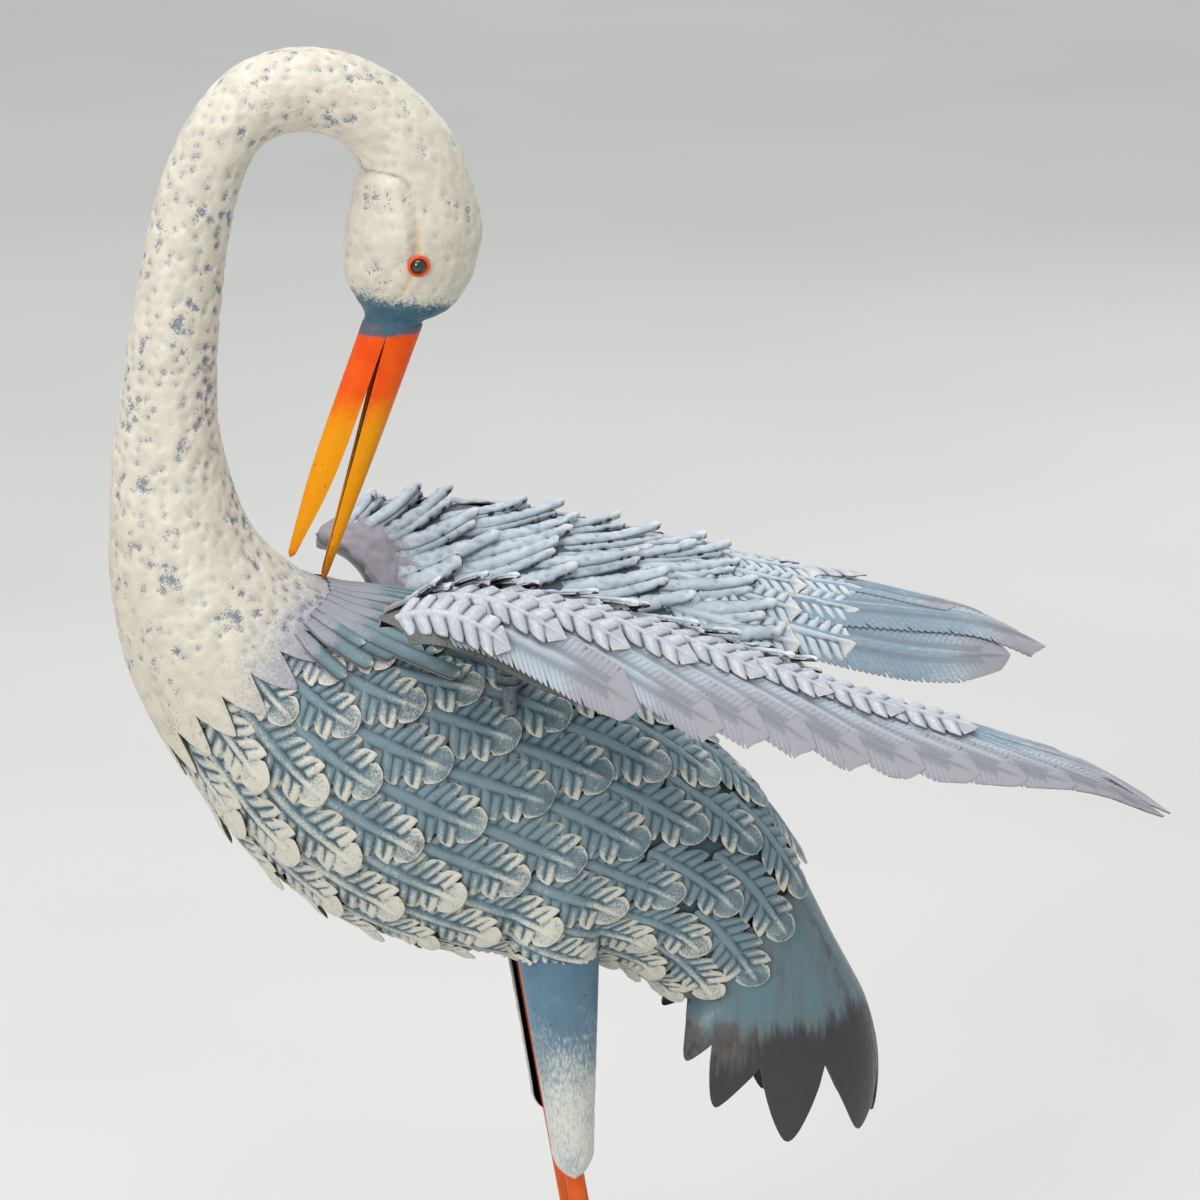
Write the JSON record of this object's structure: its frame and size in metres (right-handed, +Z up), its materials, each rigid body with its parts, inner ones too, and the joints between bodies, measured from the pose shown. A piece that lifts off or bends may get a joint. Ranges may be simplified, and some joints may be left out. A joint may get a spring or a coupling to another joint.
{
  "type": "egret garden figurine",
  "caption": "Preening egret garden statue in painted sheet steel, with a crooked neck, layered feather plates, half-raised wings, a hanging tail and thin legs on a flat base plate.",
  "frame": {"origin": "centre of the base plate's underside", "axes": "+Z up, the breast faces -X and the tail and wing tips +X, the bird's left side is -Y"},
  "size_m": [0.6066, 0.3604, 0.916],
  "materials": {
    "cream_enamel": "hammered cream white enamel with blue-grey speckle, satin",
    "beak_orange": "red-orange to orange-brown enamel, satin",
    "beak_gold": "orange to golden yellow enamel, satin",
    "eye_black": "glossy black bead",
    "eye_orange": "orange-red enamel ring",
    "shell_blue_grey": "blue-grey enamel, satin",
    "feather_blue_grey": "blue-grey enamel dry-brushed with cream",
    "tail_charcoal": "blue-grey fading to charcoal, brushed",
    "wing_lilac": "light blue to lilac-grey enamel, satin",
    "wing_pale_blue": "pale blue-grey with whitish tips, hammered",
    "bolt_steel": "zinc-plated steel, slightly yellowed",
    "thigh_blue_grey": "blue-grey enamel fading to speckled cream, black inside",
    "leg_orange": "orange enamel with dark streaks",
    "base_blue_grey": "dark blue-grey enamel, satin"
  },
  "bodies": {
    "root": {"neck_and_breast": "cream_enamel", "beak_upper": "beak_orange", "beak_lower": "beak_gold", "eye_left": "eye_black", "eye_ring_left": "eye_orange", "eye_right": "eye_black", "eye_ring_right": "eye_orange", "body_shell": "shell_blue_grey", "body_feathers_1": "feather_blue_grey", "body_feathers_2": "feather_blue_grey", "body_feathers_3": "feather_blue_grey", "body_feathers_4": "feather_blue_grey", "body_feathers_5": "feather_blue_grey", "body_feathers_6": "feather_blue_grey", "body_feathers_7": "feather_blue_grey", "body_feathers_8": "feather_blue_grey", "body_feathers_9": "feather_blue_grey", "body_feathers_10": "feather_blue_grey", "body_feathers_11": "feather_blue_grey", "tail_fan": "tail_charcoal", "wing_left_plate": "wing_lilac", "wing_left_quills": "wing_lilac", "wing_left_side_coverts": "wing_pale_blue", "wing_left_rear_coverts": "wing_pale_blue", "wing_left_shoulder": "wing_pale_blue", "wing_left_fingers_1": "wing_pale_blue", "wing_left_fingers_2": "wing_pale_blue", "wing_left_fingers_3": "wing_pale_blue", "wing_bolt_left": "bolt_steel", "thigh_left": "thigh_blue_grey", "leg_left": "leg_orange", "foot_left": "leg_orange", "wing_right_plate": "wing_lilac", "wing_right_quills": "wing_lilac", "wing_right_side_coverts": "wing_pale_blue", "wing_right_rear_coverts": "wing_pale_blue", "wing_right_shoulder": "wing_pale_blue", "wing_right_fingers_1": "wing_pale_blue", "wing_right_fingers_2": "wing_pale_blue", "wing_right_fingers_3": "wing_pale_blue", "wing_bolt_right": "bolt_steel", "thigh_right": "thigh_blue_grey", "leg_right": "leg_orange", "foot_right": "leg_orange", "base_plate": "base_blue_grey"}
  },
  "joints": []
}
